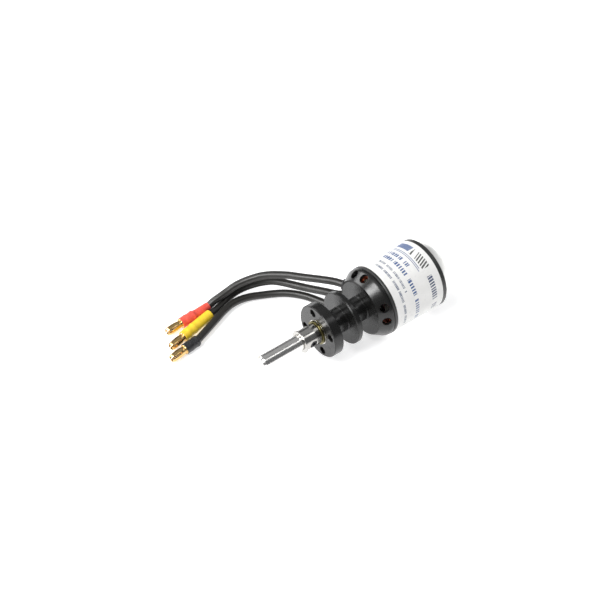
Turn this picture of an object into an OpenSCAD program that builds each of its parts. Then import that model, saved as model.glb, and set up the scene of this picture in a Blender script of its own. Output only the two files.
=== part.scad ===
// Brushless outrunner motor on a spool-shaped front mount, with three leads.
// The motor axis is X. The origin is the centre of the mounting flange's front face,
// +X points out along the output shaft and +Z points up.
// The motor lies on its rotor can, so it stands on the plane z = -can_r.

/* [Front mount] */
// Radius of the mounting flange and of the middle disc
flange_r = 10.6; // [10.2:0.1:11.4]
// Thickness of the mounting flange
flange_t = 4.1; // [3.8:0.1:4.6]
// Circle of the four mounting holes, as a diameter
bolt_pcd = 16; // [15.4:0.1:16.6]
// Radius of a mounting hole
bolt_r = 1.5; // [1.0:0.05:1.7]
// Radius of the neck that carries the discs
neck_r = 4.8; // [4.3:0.1:5.4]
// Front face of the middle disc, measured from the flange face
mid_disc_x = -11; // [-12:0.1:-8]
// Thickness of the middle disc
mid_disc_t = 2.1; // [1.5:0.1:3]
// Front face of the vented housing
housing_x = -20; // [-20.4:0.1:-19.6]
// Radius of a round vent in the housing
vent_r = 1.75; // [1.2:0.05:1.9]

/* [Rotor] */
// Outer radius of the rotor can
can_r = 14; // [13.9:0.05:14.2]
// Inner radius of the rotor can
can_bore_r = 13; // [12.9:0.05:13.2]
// Number of magnets round the can
magnet_count = 14; // [10:2:14]
// Angle that one magnet covers, in degrees
magnet_span = 22; // [16:1:24]

/* [Shaft] */
// Radius of the output shaft
shaft_r = 3; // [2.9:0.05:3]
// Tip of the output shaft, ahead of the flange face
shaft_tip_x = 26; // [18:0.5:40]
// Outer radius of the shaft collar
collar_r = 4.05; // [3.95:0.05:4.6]

/* [Stator] */
// Number of wound teeth
tooth_count = 12; // [12]
// Radius across the tooth shoes
stator_r = 11.2; // [11:0.05:11.25]
// Length of the lamination stack
stack_len = 16; // [14:0.5:16]

/* [Leads] */
// Outer diameter of a lead
lead_d = 3; // [2.6:0.1:3.2]
// Diameter of a bullet contact
bullet_d = 3.5; // [3.0:0.1:3.6]

/* [Hidden] */
$fn = 96;
eps = 0.05;
edge = 0.3;

// Lengths along the motor axis
mid_disc_rear = mid_disc_x - mid_disc_t;
housing_rear = -25.4;
housing_wall_x = housing_x - 2.2;
hub_rear = -26;
tube_front = housing_x - 0.8;
tube_rear = -47.5;
can_front = -25.8;
can_rear = -50.8;
label_front = can_front - 1.1;
label_rear = can_rear + 1.8;
stack_mid = -37.5;
magnet_len = stack_len + 2;
bell_front = -49;
bell_rear = -57.4;
shaft_rear = -57.8;

// Housing wall
housing_front_r = 11.2;
housing_rim_r = 13.9;
housing_slope = 31;
housing_bend_r = 3;
housing_wall = 1.4;
port_x = -22.6;
port_r = housing_front_r + (housing_x - port_x) * tan(housing_slope);
vent_angles = [7, 33, 97, 123, 277, 303];
bolt_angle = 22;

// Ball bearings, 6 x 10 x 3 mm, with the balls on a pitch circle between the rings
bearing_r = 5;
bearing_w = 3;
ring_out_r = 4.45;
ring_in_r = 3.55;
pitch_r = 4;
ball_r = 0.6;
race_r = ball_r + 0.02;
ball_count = 8;
cage_half = 0.9;
shield_t = 0.15;
shield_inset = 0.2;
bore_clear_r = 3.7;
tube_r = 6;

// Collar, washer and set screws
washer_t = 0.85;
washer_r = 4.7;
collar_front = 8.3;
collar_lip_r = collar_r + 0.45;
collar_lip_t = 0.5;
collar_screw_x = 4.6;
collar_screw_angle = -2;
screw_r = 1.5;
socket_r = 0.87;
flat_r = shaft_r - 0.2;
relief_r = shaft_r - 0.2;
relief_low = collar_front - 0.6;
relief_high = collar_front + 0.1;
bell_screw_x = -53.2;

// Coils and teeth
tooth_w = 2;
yoke_r = 7.7;
shoe_r = 10.4;
shoe_span = 25;
coil_half = 2;
coil_in_half = 1.05;
coil_base_r = 7.95;
coil_h = 2.25;
cap_t = 0.5;

// End bell
spoke_count = 5;
spoke_w = 3.6;
window_in_r = 5.9;
window_out_r = 8.9;
bell_hub_r = 5.4;
label_t = 0.1;
label_seat_r = can_r - 0.13;

// Leads: the angle of each port round the housing, and how far the grommet stands out
lead_r = lead_d / 2;
grommet_r = 1.9;
grommet_flange_r = 2.2;
grommet_out = 0.6;
grommet_in = 1.8;
lead_inside = 3;
tail_r = 0.7;
port_angles = [178, 200, 222];
coil_angles = [165, 195, 225];

// Routes of the three leads, from the grommets to the heat-shrink sleeves
route_red = [
    [-22.3, -13.3, 0.5], [-20.8, -15.9, 0.5], [-18.9, -18.6, 0.3], [-16.8, -21.5, -0.1],
    [-14.6, -24.4, -0.5], [-12.3, -27.5, -0.9], [-10.1, -30.6, -1.3], [-7.7, -33.5, -1.9],
    [-5.2, -36.3, -2.6], [-2.5, -38.7, -3.5], [0.5, -40.6, -4.6], [3.6, -42.1, -5.7],
    [6.8, -43.1, -6.8], [10, -43.6, -8.1], [13.1, -43.9, -9.2], [16, -44.3, -10.3],
    [18.5, -44.5, -11.6]];
route_yellow = [
    [-22.3, -12.5, -4.5], [-20.9, -14.8, -5.4], [-19.4, -17.7, -6], [-17.6, -20.9, -6.5],
    [-15.6, -24.3, -7], [-13.6, -27.7, -7.4], [-11.5, -31.1, -7.6], [-9.4, -34.4, -7.8],
    [-7, -37.4, -8.1], [-4.2, -39.8, -8.8], [-1.1, -41.7, -9.6], [2.2, -43.1, -10.4],
    [5.5, -43.9, -11.2], [8.8, -43.9, -11.9], [12.2, -43.2, -12.4], [16, -41.9, -12.4],
    [20.5, -40.5, -11.6]];
route_black = [
    [-22.3, -9.9, -8.9], [-21, -11.6, -10.3], [-19.6, -14.2, -11.1], [-18, -17.6, -11.3],
    [-16.3, -21.3, -11.3], [-14.2, -25.1, -11.1], [-11.7, -28.7, -11.2], [-8.6, -32, -11.4],
    [-5, -34.8, -11.8], [-1.1, -37.1, -12], [2.9, -38.9, -11.9], [7, -39.8, -11.7],
    [11.1, -39.7, -11.5], [15.2, -38.7, -11.4], [19.3, -37.1, -11.3], [23.4, -35.5, -11.3],
    [27.7, -33.9, -11.4], [32, -32.4, -11.6]];

// Plugs: start point, heading in degrees, sleeve length and radius of the sleeve's neck
plug_red = [[18.5, -44.5, -11.6], 5, 13.6, 1.8];
plug_yellow = [[20.5, -40.5, -11.6], 13, 15.2, 2.15];
plug_black = [[32, -32.4, -11.6], 8, 6.4, 1.8];
barrel_r = 2;
barrel_sleeve_r = 2.3;
barrel_len = 6;
contact_len = 6.8;
slit_w = 0.35;

black_metal = [0.10, 0.10, 0.11];
steel = [0.75, 0.76, 0.78];
silver = [0.80, 0.81, 0.83];
gold = [0.83, 0.66, 0.33];

// ---- helpers -------------------------------------------------------------------------

// Turns local Z into the motor axis
module along_x() rotate([0, 90, 0]) children();

// A turned part: the outline's points are [radius, x]
module turned(outline) along_x() rotate_extrude() polygon(outline);

// A ring or a disc between two places on the axis
module ring(x_low, x_high, r_out, r_in = 0) {
    difference() {
        translate([x_low, 0, 0]) along_x() cylinder(h = x_high - x_low, r = r_out);
        if (r_in > 0)
            translate([x_low - 1, 0, 0]) along_x() cylinder(h = x_high - x_low + 2, r = r_in);
    }
}

// Places children that face +Y at an angle round the motor axis
module at_angle(angle) rotate([angle, 0, 0]) children();

// A peg whose axis is radial, from one radius to another
module radial_peg(x, r_low, r_high, r) {
    translate([x, r_low, 0]) rotate([-90, 0, 0]) cylinder(h = r_high - r_low, r = r);
}

// Points of an arc, as [radius, x] pairs
function arc(centre_r, centre_x, r, start, end, steps) =
    [for (i = [0:steps]) let (a = start + (end - start) * i / steps)
        [centre_r + r * cos(a), centre_x + r * sin(a)]];

// Stands children on the sloping housing wall: local Z points out of the wall
module on_wall(angle) {
    at_angle(angle) translate([port_x, port_r, 0]) rotate([0, 0, -housing_slope])
        rotate([-90, 0, 0]) children();
}

// A straight rod between two points
module rod(from, to, r) {
    d = to - from;
    translate(from) rotate([0, acos(d[2] / norm(d)), atan2(d[1], d[0])])
        cylinder(h = norm(d), r = r);
}

// The place on a port's axis at a height above the wall
function port_point(angle, h) =
    let (x = port_x + h * sin(housing_slope), r = port_r + h * cos(housing_slope))
    [x, r * cos(angle), r * sin(angle)];

// ---- front mount ---------------------------------------------------------------------

module front_mount() {
    color(black_metal) difference() {
        front_mount_body();
        for (i = [0:3]) at_angle(bolt_angle + 90 * i) translate([-flange_t - 1, bolt_pcd / 2, 0])
            along_x() cylinder(h = flange_t + 2, r = bolt_r);
        for (a = vent_angles) on_wall(a) translate([0, 0, -3]) cylinder(h = 6, r = vent_r);
        for (a = port_angles) on_wall(a) translate([0, 0, -3]) cylinder(h = 6, r = grommet_r);
    }
}

// One turned piece: flange, neck, middle disc, neck and cup-shaped housing
module front_mount_body() {
    cup_in_r = housing_front_r - housing_wall / cos(housing_slope);
    cup_mouth_r = housing_rim_r - housing_wall;
    turned(concat(
        [[bearing_r, 0], [flange_r - edge, 0], [flange_r, -edge],
            [flange_r, edge - flange_t], [flange_r - edge, -flange_t], [neck_r, -flange_t],
            [neck_r, mid_disc_x], [flange_r - edge, mid_disc_x], [flange_r, mid_disc_x - edge],
            [flange_r, mid_disc_rear + edge], [flange_r - edge, mid_disc_rear],
            [neck_r, mid_disc_rear], [neck_r, housing_x], [housing_front_r - 0.5, housing_x],
            [housing_front_r + 0.1, housing_x - 0.25]],
        arc(housing_rim_r - housing_bend_r, housing_rear + 0.1, housing_bend_r,
            housing_slope, 0, 6),
        [[housing_rim_r, housing_rear], [cup_mouth_r, housing_rear],
            [cup_mouth_r, housing_x - (cup_mouth_r - cup_in_r) / tan(housing_slope)],
            [cup_in_r + (housing_x - housing_wall_x) * tan(housing_slope), housing_wall_x],
            [tube_r + 1.2, housing_wall_x], [tube_r + 1.2, hub_rear], [tube_r, hub_rear],
            [tube_r, tube_front], [bore_clear_r, tube_front], [bore_clear_r, -bearing_w],
            [bearing_r, -bearing_w]]));
}

// Tube pressed into the mount: it carries the stator outside and a bearing at its rear end
module bearing_tube() {
    color(silver) turned([[bore_clear_r, tube_front], [tube_r, tube_front], [tube_r, tube_rear],
        [bearing_r, tube_rear], [bearing_r, tube_rear + bearing_w],
        [bore_clear_r, tube_rear + bearing_w]]);
}

// ---- ball bearings -------------------------------------------------------------------

// Each piece of a bearing is drawn with its front face at x = 0
module race_groove() {
    translate([-bearing_w / 2, 0, 0]) along_x() rotate_extrude()
        translate([pitch_r, 0]) circle(r = race_r, $fn = 32);
}

module outer_ring() {
    difference() {
        ring(-bearing_w, 0, bearing_r, ring_out_r);
        race_groove();
    }
}

module inner_ring() {
    difference() {
        ring(-bearing_w, 0, ring_in_r, shaft_r);
        race_groove();
    }
}

module ball_angles() {
    for (i = [0:ball_count - 1]) at_angle(360 / ball_count * i) children();
}

module balls() {
    ball_angles() translate([-bearing_w / 2, pitch_r, 0]) sphere(r = ball_r, $fn = 32);
}

// Thin ring with a round pocket for each ball
module cage() {
    difference() {
        ring(-bearing_w / 2 - cage_half, -bearing_w / 2 + cage_half, pitch_r + 0.2, pitch_r - 0.2);
        ball_angles() radial_peg(-bearing_w / 2, pitch_r - 1, pitch_r + 1, ball_r + 0.04);
    }
}

module shields() {
    for (x = [-shield_inset - shield_t, shield_inset - bearing_w])
        ring(x, x + shield_t, ring_out_r, ring_in_r + 0.1);
}

module front_bearing_outer_ring() color(steel) outer_ring();

module front_bearing_inner_ring() color(steel) inner_ring();

module front_bearing_balls() color(steel) balls();

module front_bearing_cage() color("tan") cage();

module front_bearing_shields() color([0.62, 0.56, 0.34]) shields();

module rear_bearing() translate([tube_rear + bearing_w, 0, 0]) children();

module rear_bearing_outer_ring() color(steel) rear_bearing() outer_ring();

module rear_bearing_inner_ring() color(steel) rear_bearing() inner_ring();

module rear_bearing_balls() color(steel) rear_bearing() balls();

module rear_bearing_cage() color("tan") rear_bearing() cage();

module rear_bearing_shields() color([0.62, 0.56, 0.34]) rear_bearing() shields();

// ---- stator --------------------------------------------------------------------------

module tooth_angles() {
    for (i = [0:tooth_count - 1]) at_angle(15 + 360 / tooth_count * i) children();
}

// The same teeth in a flat outline, each drawn along +Y
module flat_teeth() {
    for (i = [0:tooth_count - 1]) rotate(15 + 360 / tooth_count * i) children();
}

// Flat outline that opens along +Y
module sector(span, reach) {
    polygon([[0, 0], [reach * sin(span / 2), reach * cos(span / 2)], [0, reach * 1.2],
        [-reach * sin(span / 2), reach * cos(span / 2)]]);
}

// A sector with a length along the axis
module wedge(x_low, x_high, span, reach) {
    translate([x_low, 0, 0]) along_x() linear_extrude(x_high - x_low) sector(span, reach);
}

// Yoke and straight teeth of one plate, up to a radius
module toothed_plate(r_high) {
    circle(r = yoke_r);
    flat_teeth() translate([-tooth_w / 2, yoke_r - 0.7])
        square([tooth_w, r_high - yoke_r + 0.7]);
}

// One lamination, with a shoe on each tooth
module lamination() {
    difference() {
        union() {
            toothed_plate(shoe_r + 0.2);
            flat_teeth() intersection() {
                difference() {
                    circle(r = stator_r);
                    circle(r = shoe_r);
                }
                sector(shoe_span, stator_r + 2);
            }
        }
        circle(r = tube_r);
    }
}

module stator_core() {
    color([0.45, 0.46, 0.48]) translate([stack_mid - stack_len / 2, 0, 0]) along_x()
        linear_extrude(stack_len) lamination();
}

// Insulating plate on each end of the lamination stack
module stator_end_caps() {
    color([0.86, 0.86, 0.80])
        for (x = [stack_mid + stack_len / 2, stack_mid - stack_len / 2 - cap_t])
            translate([x, 0, 0]) along_x() linear_extrude(cap_t) difference() {
                toothed_plate(shoe_r - 0.1);
                circle(r = tube_r);
            }
}

// A bar with round ends, lying along X and standing up along +Y
module racetrack(half_len, half_w, h) {
    union() {
        translate([-half_len, 0, -half_w]) cube([2 * half_len, h, 2 * half_w]);
        for (s = [-1, 1]) translate([s * half_len, 0, 0]) rotate([-90, 0, 0])
            cylinder(h = h, r = half_w, $fn = 48);
    }
}

// One wound coil on each tooth
module windings() {
    half = stack_len / 2 + cap_t;
    color([0.72, 0.27, 0.12]) tooth_angles() translate([stack_mid, coil_base_r, 0])
        difference() {
            racetrack(half, coil_half, coil_h);
            translate([0, -1, 0]) racetrack(half, coil_in_half, coil_h + 2);
        }
}

// Enamelled wire ends that join a coil to each lead
module phase_tails() {
    coil_face = stack_mid + stack_len / 2 + cap_t + coil_half;
    coil_mid_r = coil_base_r + coil_h / 2;
    color([0.72, 0.27, 0.12]) for (i = [0:2])
        rod([coil_face - 0.3, coil_mid_r * cos(coil_angles[i]), coil_mid_r * sin(coil_angles[i])],
            port_point(port_angles[i], -lead_inside), tail_r);
}

// ---- leads ---------------------------------------------------------------------------

module lead_inner_ends() {
    color([0.09, 0.09, 0.10]) for (a = port_angles) on_wall(a)
        translate([0, 0, -lead_inside]) cylinder(h = lead_inside + grommet_out, r = lead_r);
}

module lead_grommets() {
    color([0.13, 0.13, 0.13]) for (a = port_angles) on_wall(a) difference() {
        union() {
            translate([0, 0, -grommet_in]) cylinder(h = grommet_in + grommet_out, r = grommet_r);
            cylinder(h = grommet_out, r = grommet_flange_r);
        }
        translate([0, 0, -grommet_in - 1]) cylinder(h = grommet_in + grommet_out + 2, r = lead_r);
    }
}

function unit(v) = v / norm(v);

// A round tube swept along a list of points, with a ring of corners at each point
module swept_tube(points, r, sides = 8) {
    last = len(points) - 1;
    rings = [for (i = [0:last])
        let (t = unit(points[min(i + 1, last)] - points[max(i - 1, 0)]),
            side = unit(cross(t, [0, 0, 1])), up = cross(side, t))
        for (k = [0:sides - 1])
            points[i] + r * (side * cos(360 / sides * k) + up * sin(360 / sides * k))];
    walls = [for (i = [0:last - 1], k = [0:sides - 1])
        let (a = i * sides, n = (k + 1) % sides)
        [a + k, a + n, a + sides + n, a + sides + k]];
    first_cap = [for (k = [0:sides - 1]) sides - 1 - k];
    last_cap = [for (k = [0:sides - 1]) last * sides + k];
    polyhedron(rings, concat([first_cap], walls, [last_cap]));
}

module lead(route) color([0.09, 0.09, 0.10]) swept_tube(route, lead_r);

module lead_red() lead(route_red);

module lead_yellow() lead(route_yellow);

module lead_black() lead(route_black);

// Puts a part drawn along +X from the origin at a plug's place
module at_plug(plug) translate(plug[0]) rotate([0, 0, plug[1]]) children();

// Heat-shrink sleeve: narrow on the lead, with a bulge over the contact's solder barrel
module sleeve(plug) {
    end = plug[2];
    neck = plug[3];
    bulge = end - barrel_len - 0.4;
    at_plug(plug) difference() {
        turned(concat([[0, 0], [neck - 0.15, 0]], bulge > 1 ? [[neck, bulge - 1.2]] : [],
            [[barrel_sleeve_r, bulge + 0.6], [barrel_sleeve_r, end - 0.4],
                [barrel_sleeve_r - 0.2, end], [0, end]]));
        ring(end - barrel_len, end + 1, barrel_r);
    }
}

module sleeve_red() color([0.78, 0.16, 0.13]) sleeve(plug_red);

module sleeve_yellow() color([0.90, 0.74, 0.16]) sleeve(plug_yellow);

module sleeve_black() color([0.12, 0.12, 0.13]) sleeve(plug_black);

// Gold-plated bullet: solder barrel, waist and split spring contact
module bullet(plug) {
    end = plug[2];
    tip = end + contact_len;
    r = bullet_d / 2;
    color(gold) at_plug(plug) difference() {
        turned([[0, end - barrel_len], [barrel_r, end - barrel_len], [barrel_r, end + 0.3],
            [r - 0.25, end + 0.3], [r - 0.25, end + 0.8], [r, end + 1.2], [r, tip - 0.7],
            [r - 0.5, tip], [0, tip]]);
        ring(end + 1.4, tip + 1, r - 0.85);
        for (a = [0, 90]) at_angle(45 + a)
            translate([end + 1.6, -r - 1, -slit_w / 2]) cube([contact_len, 2 * r + 2, slit_w]);
    }
}

module bullet_red() bullet(plug_red);

module bullet_yellow() bullet(plug_yellow);

module bullet_black() bullet(plug_black);

// ---- rotor ---------------------------------------------------------------------------

// A flat cut on the shaft under a set screw
module shaft_flat(x, angle) {
    at_angle(angle) translate([x - 2, flat_r, -shaft_r]) cube([4, shaft_r, 2 * shaft_r]);
}

// A relief groove under the collar's front edge parts its seat from the free end
module shaft() {
    color(steel) difference() {
        turned([[0, shaft_rear], [shaft_r - 0.4, shaft_rear], [shaft_r, shaft_rear + 0.4],
            [shaft_r, relief_low], [relief_r, relief_low], [relief_r, relief_high],
            [shaft_r, relief_high], [shaft_r, shaft_tip_x - 0.9],
            [shaft_r - 0.7, shaft_tip_x], [0.5, shaft_tip_x], [0, shaft_tip_x - 0.6]]);
        shaft_flat(collar_screw_x, collar_screw_angle);
        for (a = [90, 18]) shaft_flat(bell_screw_x, a);
    }
}

// Collar with a thin lip at its front, and a threaded hole for its set screw
module shaft_collar() {
    color(steel) difference() {
        turned([[shaft_r, washer_t], [collar_r - edge, washer_t], [collar_r, washer_t + edge],
            [collar_r, collar_front - collar_lip_t], [collar_lip_r, collar_front - collar_lip_t],
            [collar_lip_r, collar_front - 0.15], [collar_lip_r - 0.15, collar_front],
            [shaft_r, collar_front]]);
        at_angle(collar_screw_angle) radial_peg(collar_screw_x, 0, collar_r + 1, screw_r);
    }
}

// Headless screw with a hexagon socket, its point on the shaft's flat
module set_screw(x, r_high) {
    difference() {
        radial_peg(x, flat_r, r_high, screw_r);
        translate([x, r_high - 0.8, 0]) rotate([-90, 0, 0]) cylinder(h = 2, r = socket_r, $fn = 6);
    }
}

module collar_set_screw() {
    color([0.25, 0.25, 0.26]) at_angle(collar_screw_angle) set_screw(collar_screw_x, 3.9);
}

// Washer between the collar and the inner ring, with a small raised land on its rear
module thrust_washer() {
    color([0.70, 0.60, 0.30]) turned([[shaft_r, 0], [ring_in_r - eps, 0],
        [ring_in_r - eps, 0.15], [washer_r - 0.1, 0.15], [washer_r, 0.25],
        [washer_r, washer_t - 0.1], [washer_r - 0.1, washer_t], [shaft_r, washer_t]]);
}

module rear_spacer() color([0.70, 0.60, 0.30]) ring(bell_front, tube_rear, ring_in_r - eps, shaft_r);

// Steel flux ring, with a shallow seat for the label between two bare bands
module rotor_can() {
    color(black_metal) turned([[can_bore_r, can_front], [can_r - 0.25, can_front],
        [can_r, can_front - 0.25], [can_r, label_front], [label_seat_r, label_front],
        [label_seat_r, label_rear], [can_r, label_rear], [can_r, can_rear + 0.25],
        [can_r - 0.25, can_rear], [can_bore_r, can_rear]]);
}

module magnets() {
    color([0.55, 0.56, 0.58]) for (i = [0:magnet_count - 1])
        at_angle(360 / magnet_count * i) intersection() {
            ring(stack_mid - magnet_len / 2, stack_mid + magnet_len / 2, can_bore_r,
                stator_r + 0.35);
            wedge(stack_mid - magnet_len / 2 - 1, stack_mid + magnet_len / 2 + 1, magnet_span,
                can_bore_r + 2);
        }
}

module label() {
    color([0.93, 0.94, 0.95]) ring(label_rear + eps, label_front - eps, label_seat_r + label_t,
        label_seat_r);
}

// Domed rear cover with five spokes between its windows
module end_bell() {
    color(silver) difference() {
        turned([[shaft_r, bell_front], [bell_hub_r, bell_front], [bell_hub_r, -55.7],
            [6.05, -55.7], [8, -55], [9.6, -53.6], [10.6, -51.8], [11.05, -50], [11.6, -49.4],
            [11.6, -48.6], [can_bore_r, -48.6], [can_bore_r, can_rear], [12.6, can_rear - 0.1],
            [12.4, can_rear - 0.4], [11.7, -53], [10.5, -54.9], [8.8, -56.4], [6.9, bell_rear],
            [shaft_r, bell_rear]]);
        for (i = [0:spoke_count - 1]) at_angle(18 + 360 / spoke_count * i) bell_window();
        for (a = [90, 18]) at_angle(a)
            radial_peg(bell_screw_x, 0, window_in_r + 0.5, screw_r);
    }
}

// The opening between two spokes whose sides are parallel to the spokes
module bell_window() {
    half = 180 / spoke_count;
    apex = spoke_w / 2 / sin(half);
    intersection() {
        ring(bell_rear - 2, bell_front + 2, window_out_r, window_in_r);
        translate([0, apex, 0]) wedge(bell_rear - 3, bell_front + 3, 2 * half, 20);
    }
}

module bell_set_screws() {
    color([0.25, 0.25, 0.26]) for (a = [90, 18]) at_angle(a) set_screw(bell_screw_x, 5.1);
}

// ---- output --------------------------------------------------------------------------

front_mount();
bearing_tube();
front_bearing_outer_ring();
front_bearing_inner_ring();
front_bearing_balls();
front_bearing_cage();
front_bearing_shields();
rear_bearing_outer_ring();
rear_bearing_inner_ring();
rear_bearing_balls();
rear_bearing_cage();
rear_bearing_shields();
stator_core();
stator_end_caps();
windings();
phase_tails();
lead_inner_ends();
lead_grommets();
lead_red();
lead_yellow();
lead_black();
sleeve_red();
sleeve_yellow();
sleeve_black();
bullet_red();
bullet_yellow();
bullet_black();
shaft();
shaft_collar();
collar_set_screw();
thrust_washer();
rear_spacer();
rotor_can();
magnets();
label();
end_bell();
bell_set_screws();
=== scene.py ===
"""Looks of a brushless outrunner motor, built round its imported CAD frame.

The motor axis is X, +X out along the output shaft, and +Z is up. Outlines of turned parts
are lists of (radius, x) in millimetres, and angles turn from +Y towards +Z.
"""

import math
import random

import bmesh
import bpy
from mathutils import Matrix, Vector


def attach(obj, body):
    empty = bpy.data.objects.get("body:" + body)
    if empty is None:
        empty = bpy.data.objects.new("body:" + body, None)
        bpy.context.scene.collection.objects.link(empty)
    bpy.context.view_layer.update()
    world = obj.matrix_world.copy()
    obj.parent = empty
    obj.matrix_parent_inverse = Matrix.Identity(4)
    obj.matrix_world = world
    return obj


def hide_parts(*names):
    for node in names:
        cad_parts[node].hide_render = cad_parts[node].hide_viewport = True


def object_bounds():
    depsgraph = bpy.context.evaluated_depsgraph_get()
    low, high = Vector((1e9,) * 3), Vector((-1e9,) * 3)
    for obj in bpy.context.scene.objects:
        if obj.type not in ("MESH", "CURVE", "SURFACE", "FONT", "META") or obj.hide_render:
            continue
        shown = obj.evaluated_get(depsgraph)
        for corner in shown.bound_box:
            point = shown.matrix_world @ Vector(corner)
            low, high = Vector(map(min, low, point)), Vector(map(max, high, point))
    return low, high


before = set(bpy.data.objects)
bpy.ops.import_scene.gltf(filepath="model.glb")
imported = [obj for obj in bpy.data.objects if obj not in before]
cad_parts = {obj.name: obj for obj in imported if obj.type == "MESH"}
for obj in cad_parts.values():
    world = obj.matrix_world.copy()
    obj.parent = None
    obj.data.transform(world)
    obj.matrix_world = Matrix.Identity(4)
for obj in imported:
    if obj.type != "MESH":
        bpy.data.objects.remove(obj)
cad_low, cad_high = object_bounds()
MM = 0.001

# ---- camera ----------------------------------------------------------------------------

VIEW_AZIMUTH = 52.54  # degrees from +X towards +Y
VIEW_ELEVATION = 46.76
VIEW_DISTANCE = 564.8 * MM
VIEW_LENS = 90.63
AIM_RIGHT = 4.634 * MM  # the flange's centre lies this far right of the picture's middle
AIM_DOWN = 9.930 * MM  # and this far below it


def view_axes(azimuth, elevation):
    """Unit vectors towards the camera, to its right and up."""
    a, e = math.radians(azimuth), math.radians(elevation)
    back = Vector((math.cos(e) * math.cos(a), math.cos(e) * math.sin(a), math.sin(e)))
    right = Vector((-math.sin(a), math.cos(a), 0))
    return back, right, back.cross(right)


def make_camera():
    back, right, up = view_axes(VIEW_AZIMUTH, VIEW_ELEVATION)
    data = bpy.data.cameras.new("camera")
    data.lens = VIEW_LENS
    data.clip_start, data.clip_end = 0.01, 20
    camera = bpy.data.objects.new("camera", data)
    turn = Matrix((right, up, back)).transposed().to_4x4()
    place = back * VIEW_DISTANCE - right * AIM_RIGHT + up * AIM_DOWN
    camera.matrix_world = Matrix.Translation(place) @ turn
    bpy.context.scene.collection.objects.link(camera)
    bpy.context.scene.camera = camera


make_camera()

# ---- node graphs -----------------------------------------------------------------------

NOISE_ROUGHNESS = 0.55
TOOL_MARK_SCALE = 9000
PATCH_SHARE = 0.6  # part of the roughness that follows the patches; the grain has the rest


class Graph:
    """A material's node graph, built from short calls."""

    def __init__(self, name):
        self.material = bpy.data.materials.new(name)
        self.material.use_nodes = True
        self.tree = self.material.node_tree
        self.shader = self.tree.nodes["Principled BSDF"]

    def node(self, kind, inputs=None, **settings):
        made = self.tree.nodes.new("ShaderNode" + kind)
        for key, value in settings.items():
            setattr(made, key, value)
        for key, value in (inputs or {}).items():
            self.feed(made.inputs[key], value)
        return made

    def feed(self, socket, value):
        if isinstance(value, bpy.types.NodeSocket):
            self.tree.links.new(value, socket)
        else:
            socket.default_value = value

    def set(self, **inputs):
        for key, value in inputs.items():
            self.feed(self.shader.inputs[key.replace("_", " ")], value)

    def math(self, operation, *values):
        return self.node("Math", dict(enumerate(values)), operation=operation).outputs[0]

    def mix(self, factor, a, b):
        made = self.node("Mix", {0: factor, 6: (*a, 1) if isinstance(a, tuple) else a,
                                 7: (*b, 1) if isinstance(b, tuple) else b}, data_type="RGBA")
        return made.outputs[2]

    def noise(self, vector, scale, detail):
        inputs = {"Vector": vector, "Scale": scale, "Detail": detail,
                  "Roughness": NOISE_ROUGHNESS}
        return self.node("TexNoise", inputs).outputs[0]

    def spread(self, value, low, high, start=0.3, end=0.7):
        """Stretches a value that runs from start to end over low to high."""
        inputs = {"Value": value, "From Min": start, "From Max": end,
                  "To Min": low, "To Max": high}
        return self.node("MapRange", inputs).outputs[0]

    def object_point(self):
        return self.node("TexCoord").outputs["Object"]

    def split(self, vector):
        return self.node("SeparateXYZ", {0: vector}).outputs

    def join(self, x, y):
        return self.node("CombineXYZ", {0: x, 1: y}).outputs[0]

    def x_and_radius(self):
        """Place along the motor axis and distance from it: a texture on these two runs round."""
        x, y, z = self.split(self.object_point())
        squares = self.math("ADD", self.math("MULTIPLY", y, y), self.math("MULTIPLY", z, z))
        return self.join(x, self.math("SQRT", squares))

    def bump(self, height):
        """Raises the surface by a height in metres."""
        inputs = {"Height": height, "Distance": 1.0, "Strength": 1.0}
        self.feed(self.shader.inputs["Normal"], self.node("Bump", inputs).outputs[0])


def surface(name, light, dark, rough, metallic=0.0, patches=300, lines=0.0, grain=2500,
            grain_depth=0.004, **sockets):
    """A material whose colour and roughness vary in patches, with fine grain and, where lines is
    above 0, tool marks that deep in millimetres, which run round the motor axis."""
    g = Graph(name)
    point = g.object_point()
    patch = g.noise(point, patches, 4)
    fine = g.noise(point, grain, 3)
    g.set(Base_Color=g.mix(g.spread(patch, 0, 1), light, dark), Metallic=metallic, **sockets)
    blotch = g.math("ADD", g.math("MULTIPLY", patch, PATCH_SHARE),
                    g.math("MULTIPLY", fine, 1 - PATCH_SHARE))
    g.set(Roughness=g.spread(blotch, *rough))
    height = g.math("MULTIPLY", fine, grain_depth * MM)
    if lines:
        marks = g.noise(g.x_and_radius(), TOOL_MARK_SCALE, 2)
        height = g.math("ADD", height, g.math("MULTIPLY", marks, lines * MM))
    g.bump(height)
    return g.material


def winding_wire():
    """Enamelled copper under a clear coat: red-brown, lighter and deeper in random patches."""
    g = Graph("copper_enamel")
    point = g.object_point()
    patch = g.noise(point, 600, 4)
    g.set(Base_Color=g.mix(g.spread(patch, 0, 1), (0.50, 0.10, 0.035), (0.24, 0.035, 0.014)))
    g.set(Metallic=0.75, Roughness=g.spread(g.noise(point, 2500, 2), 0.20, 0.38))
    g.shader.inputs["Coat Weight"].default_value = 0.6
    g.shader.inputs["Coat Roughness"].default_value = 0.12
    g.bump(g.math("MULTIPLY", patch, 0.02 * MM))
    return g.material


SHEET_T, SHEET_GROOVE = 0.35, 0.03


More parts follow.
